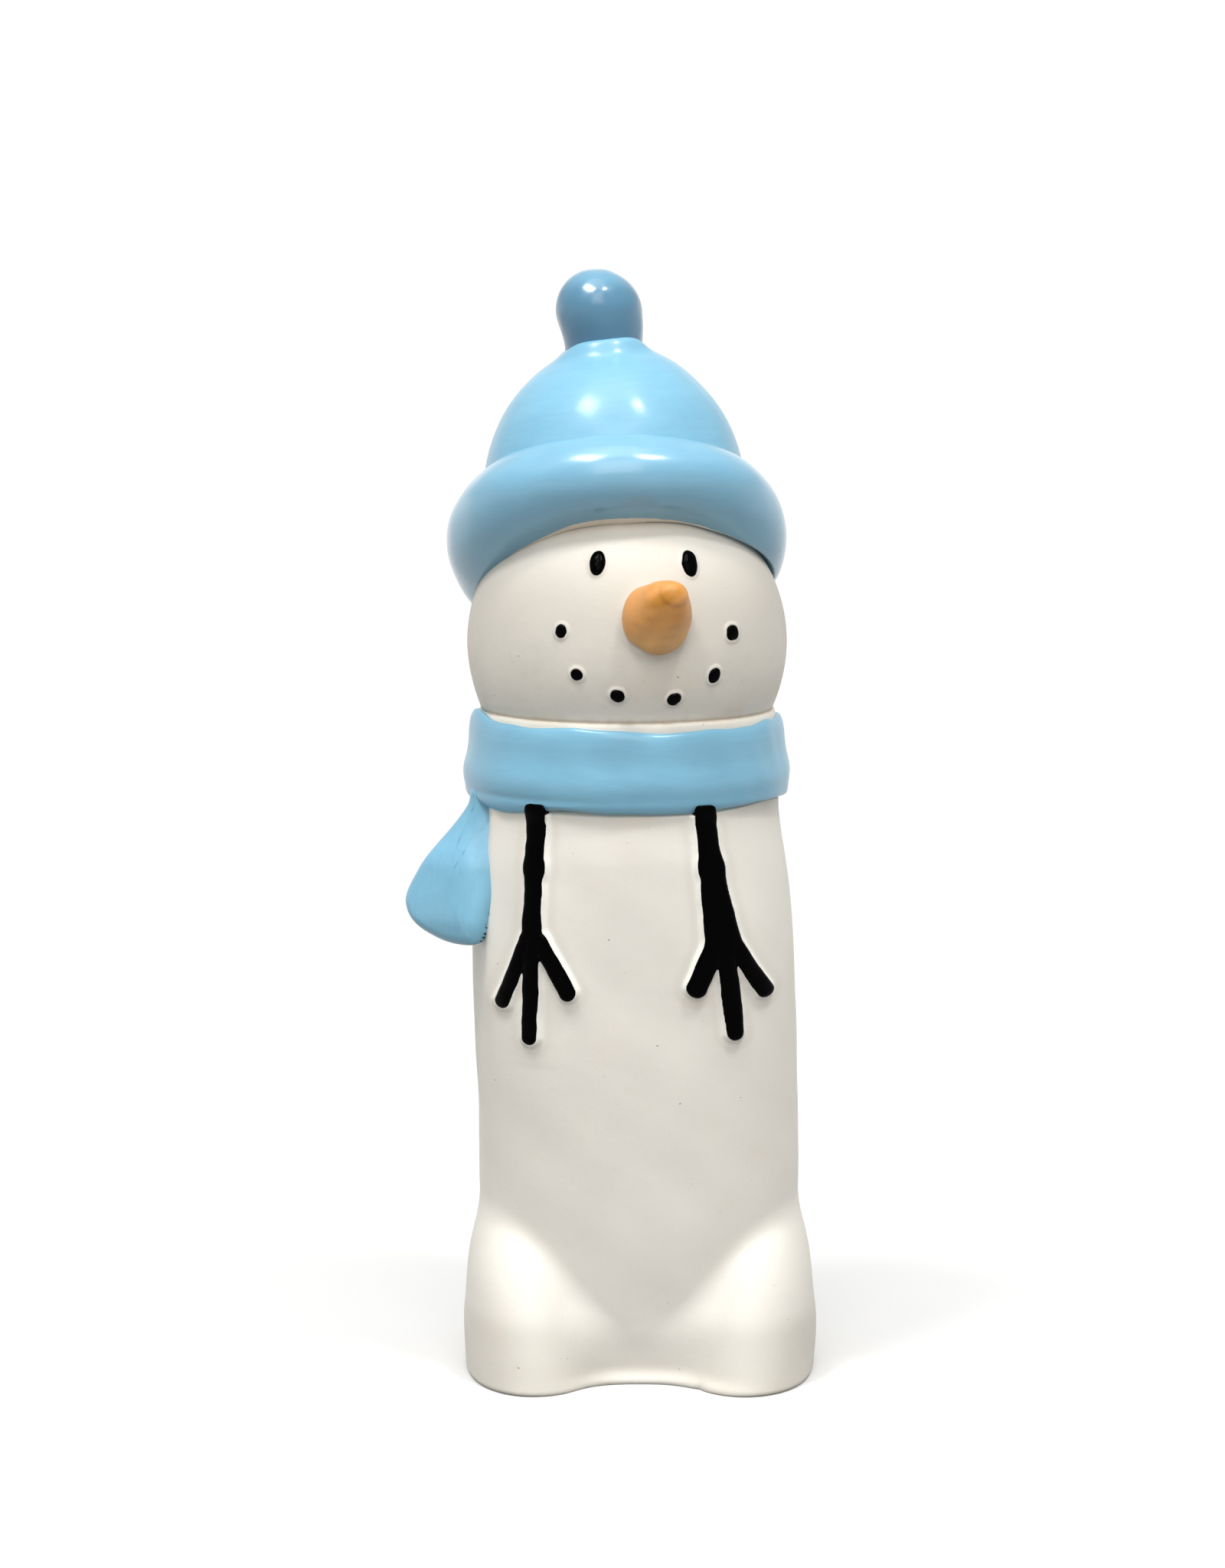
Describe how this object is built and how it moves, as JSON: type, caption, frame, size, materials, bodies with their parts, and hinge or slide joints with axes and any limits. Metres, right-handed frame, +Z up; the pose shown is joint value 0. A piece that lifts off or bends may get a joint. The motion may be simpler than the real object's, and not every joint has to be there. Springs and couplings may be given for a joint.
{
  "type": "standing snowman figure",
  "caption": "Slim standing snowman figure with a rolled-cuff bobble hat, scarf with one short tail, carrot nose, pebble face and twig arms.",
  "frame": {"origin": "middle of the figure's bounding box at the height of its flat foot, on the surface that it stands on", "axes": "+Z up through the hat, -Y the way the face and the arms look, +X to the viewer's right"},
  "size_m": [0.1491, 0.1454, 0.3999],
  "materials": {
    "bisque": "matt off-white unglazed body with fine grain and pinholes",
    "blue_paint": "satin hand-brushed light blue paint",
    "black_paint": "glossy black paint",
    "orange_paint": "satin mottled orange paint"
  },
  "bodies": {
    "root": {"body_shell": "bisque", "head_shell": "bisque", "hat_crown": "blue_paint", "hat_cuff": "blue_paint", "hat_pompom": "blue_paint", "scarf_band": "blue_paint", "scarf_tail": "blue_paint", "carrot_nose": "orange_paint", "eye_left": "black_paint", "eye_right": "black_paint", "mouth_pebble_1": "black_paint", "mouth_pebble_2": "black_paint", "mouth_pebble_3": "black_paint", "mouth_pebble_4": "black_paint", "mouth_pebble_5": "black_paint", "mouth_pebble_6": "black_paint", "arm_left": "black_paint", "arm_right": "black_paint"}
  },
  "joints": []
}
